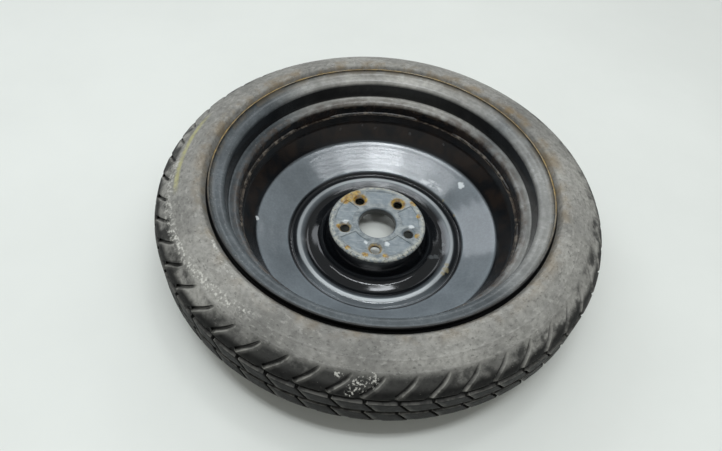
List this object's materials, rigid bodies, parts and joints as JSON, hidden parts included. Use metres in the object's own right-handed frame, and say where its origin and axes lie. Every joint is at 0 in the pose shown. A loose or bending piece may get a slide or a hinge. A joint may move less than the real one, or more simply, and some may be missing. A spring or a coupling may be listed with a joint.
{
  "type": "spare wheel",
  "caption": "Compact spare car wheel: pressed black steel disc welded into a rolled rim, with a narrow grooved tyre and a snap-in valve.",
  "frame": {"origin": "centre of the hub mounting face, on the wheel's axis", "axes": "+Z along the wheel's axis towards the hub side, up as it lies outer face down; +X through the valve"},
  "size_m": [0.621, 0.621, 0.144],
  "materials": {
    "tyre_rubber": "weathered black tyre rubber, matt",
    "black_painted_steel": "gloss black paint over rolled steel, rusted at the lip",
    "weld_metal": "rough weld bead, painted over and rusting",
    "valve_rubber": "moulded black rubber",
    "valve_brass": "turned brass, dull",
    "core_brass": "turned brass",
    "core_seal": "moulded red seal ring",
    "core_rubber": "moulded black seal",
    "spring_steel": "drawn spring wire",
    "cap_plastic": "moulded black plastic"
  },
  "bodies": {
    "wheel": {"tyre": "tyre_rubber", "rim": "black_painted_steel", "disc": "black_painted_steel", "disc_welds": "weld_metal", "valve_rubber": "valve_rubber", "valve_stem": "valve_brass", "core_barrel": "core_brass", "core_barrel_seal": "core_seal", "core_spring": "spring_steel"},
    "core_plunger": {"core_pin": "core_brass", "core_pin_seal": "core_rubber"},
    "cap_gasket": {"cap_seal": "core_rubber"},
    "cap": {"valve_cap": "cap_plastic"}
  },
  "joints": [
    {"name": "core_press", "type": "slide", "parent": "wheel", "child": "core_plunger", "axis": [0.5592, 0, 0.829], "range_m": [0, 0.001], "stiffness_N_per_m": 400, "deforming": ["core_spring"]},
    {"name": "cap_lift", "type": "slide", "parent": "wheel", "child": "cap_gasket", "axis": [-0.5592, 0, -0.829], "range_m": [0, 0.0095]},
    {"name": "cap_turn", "type": "hinge", "parent": "cap_gasket", "child": "cap", "pos_m": [0.20926, 0, 0.01769], "axis": [-0.5592, 0, -0.829], "range_deg": [0, 4307.4]}
  ],
  "couplings": [
    {"joint": "cap_turn", "follows": "cap_lift", "rad_per_m": 7913.3}
  ]
}
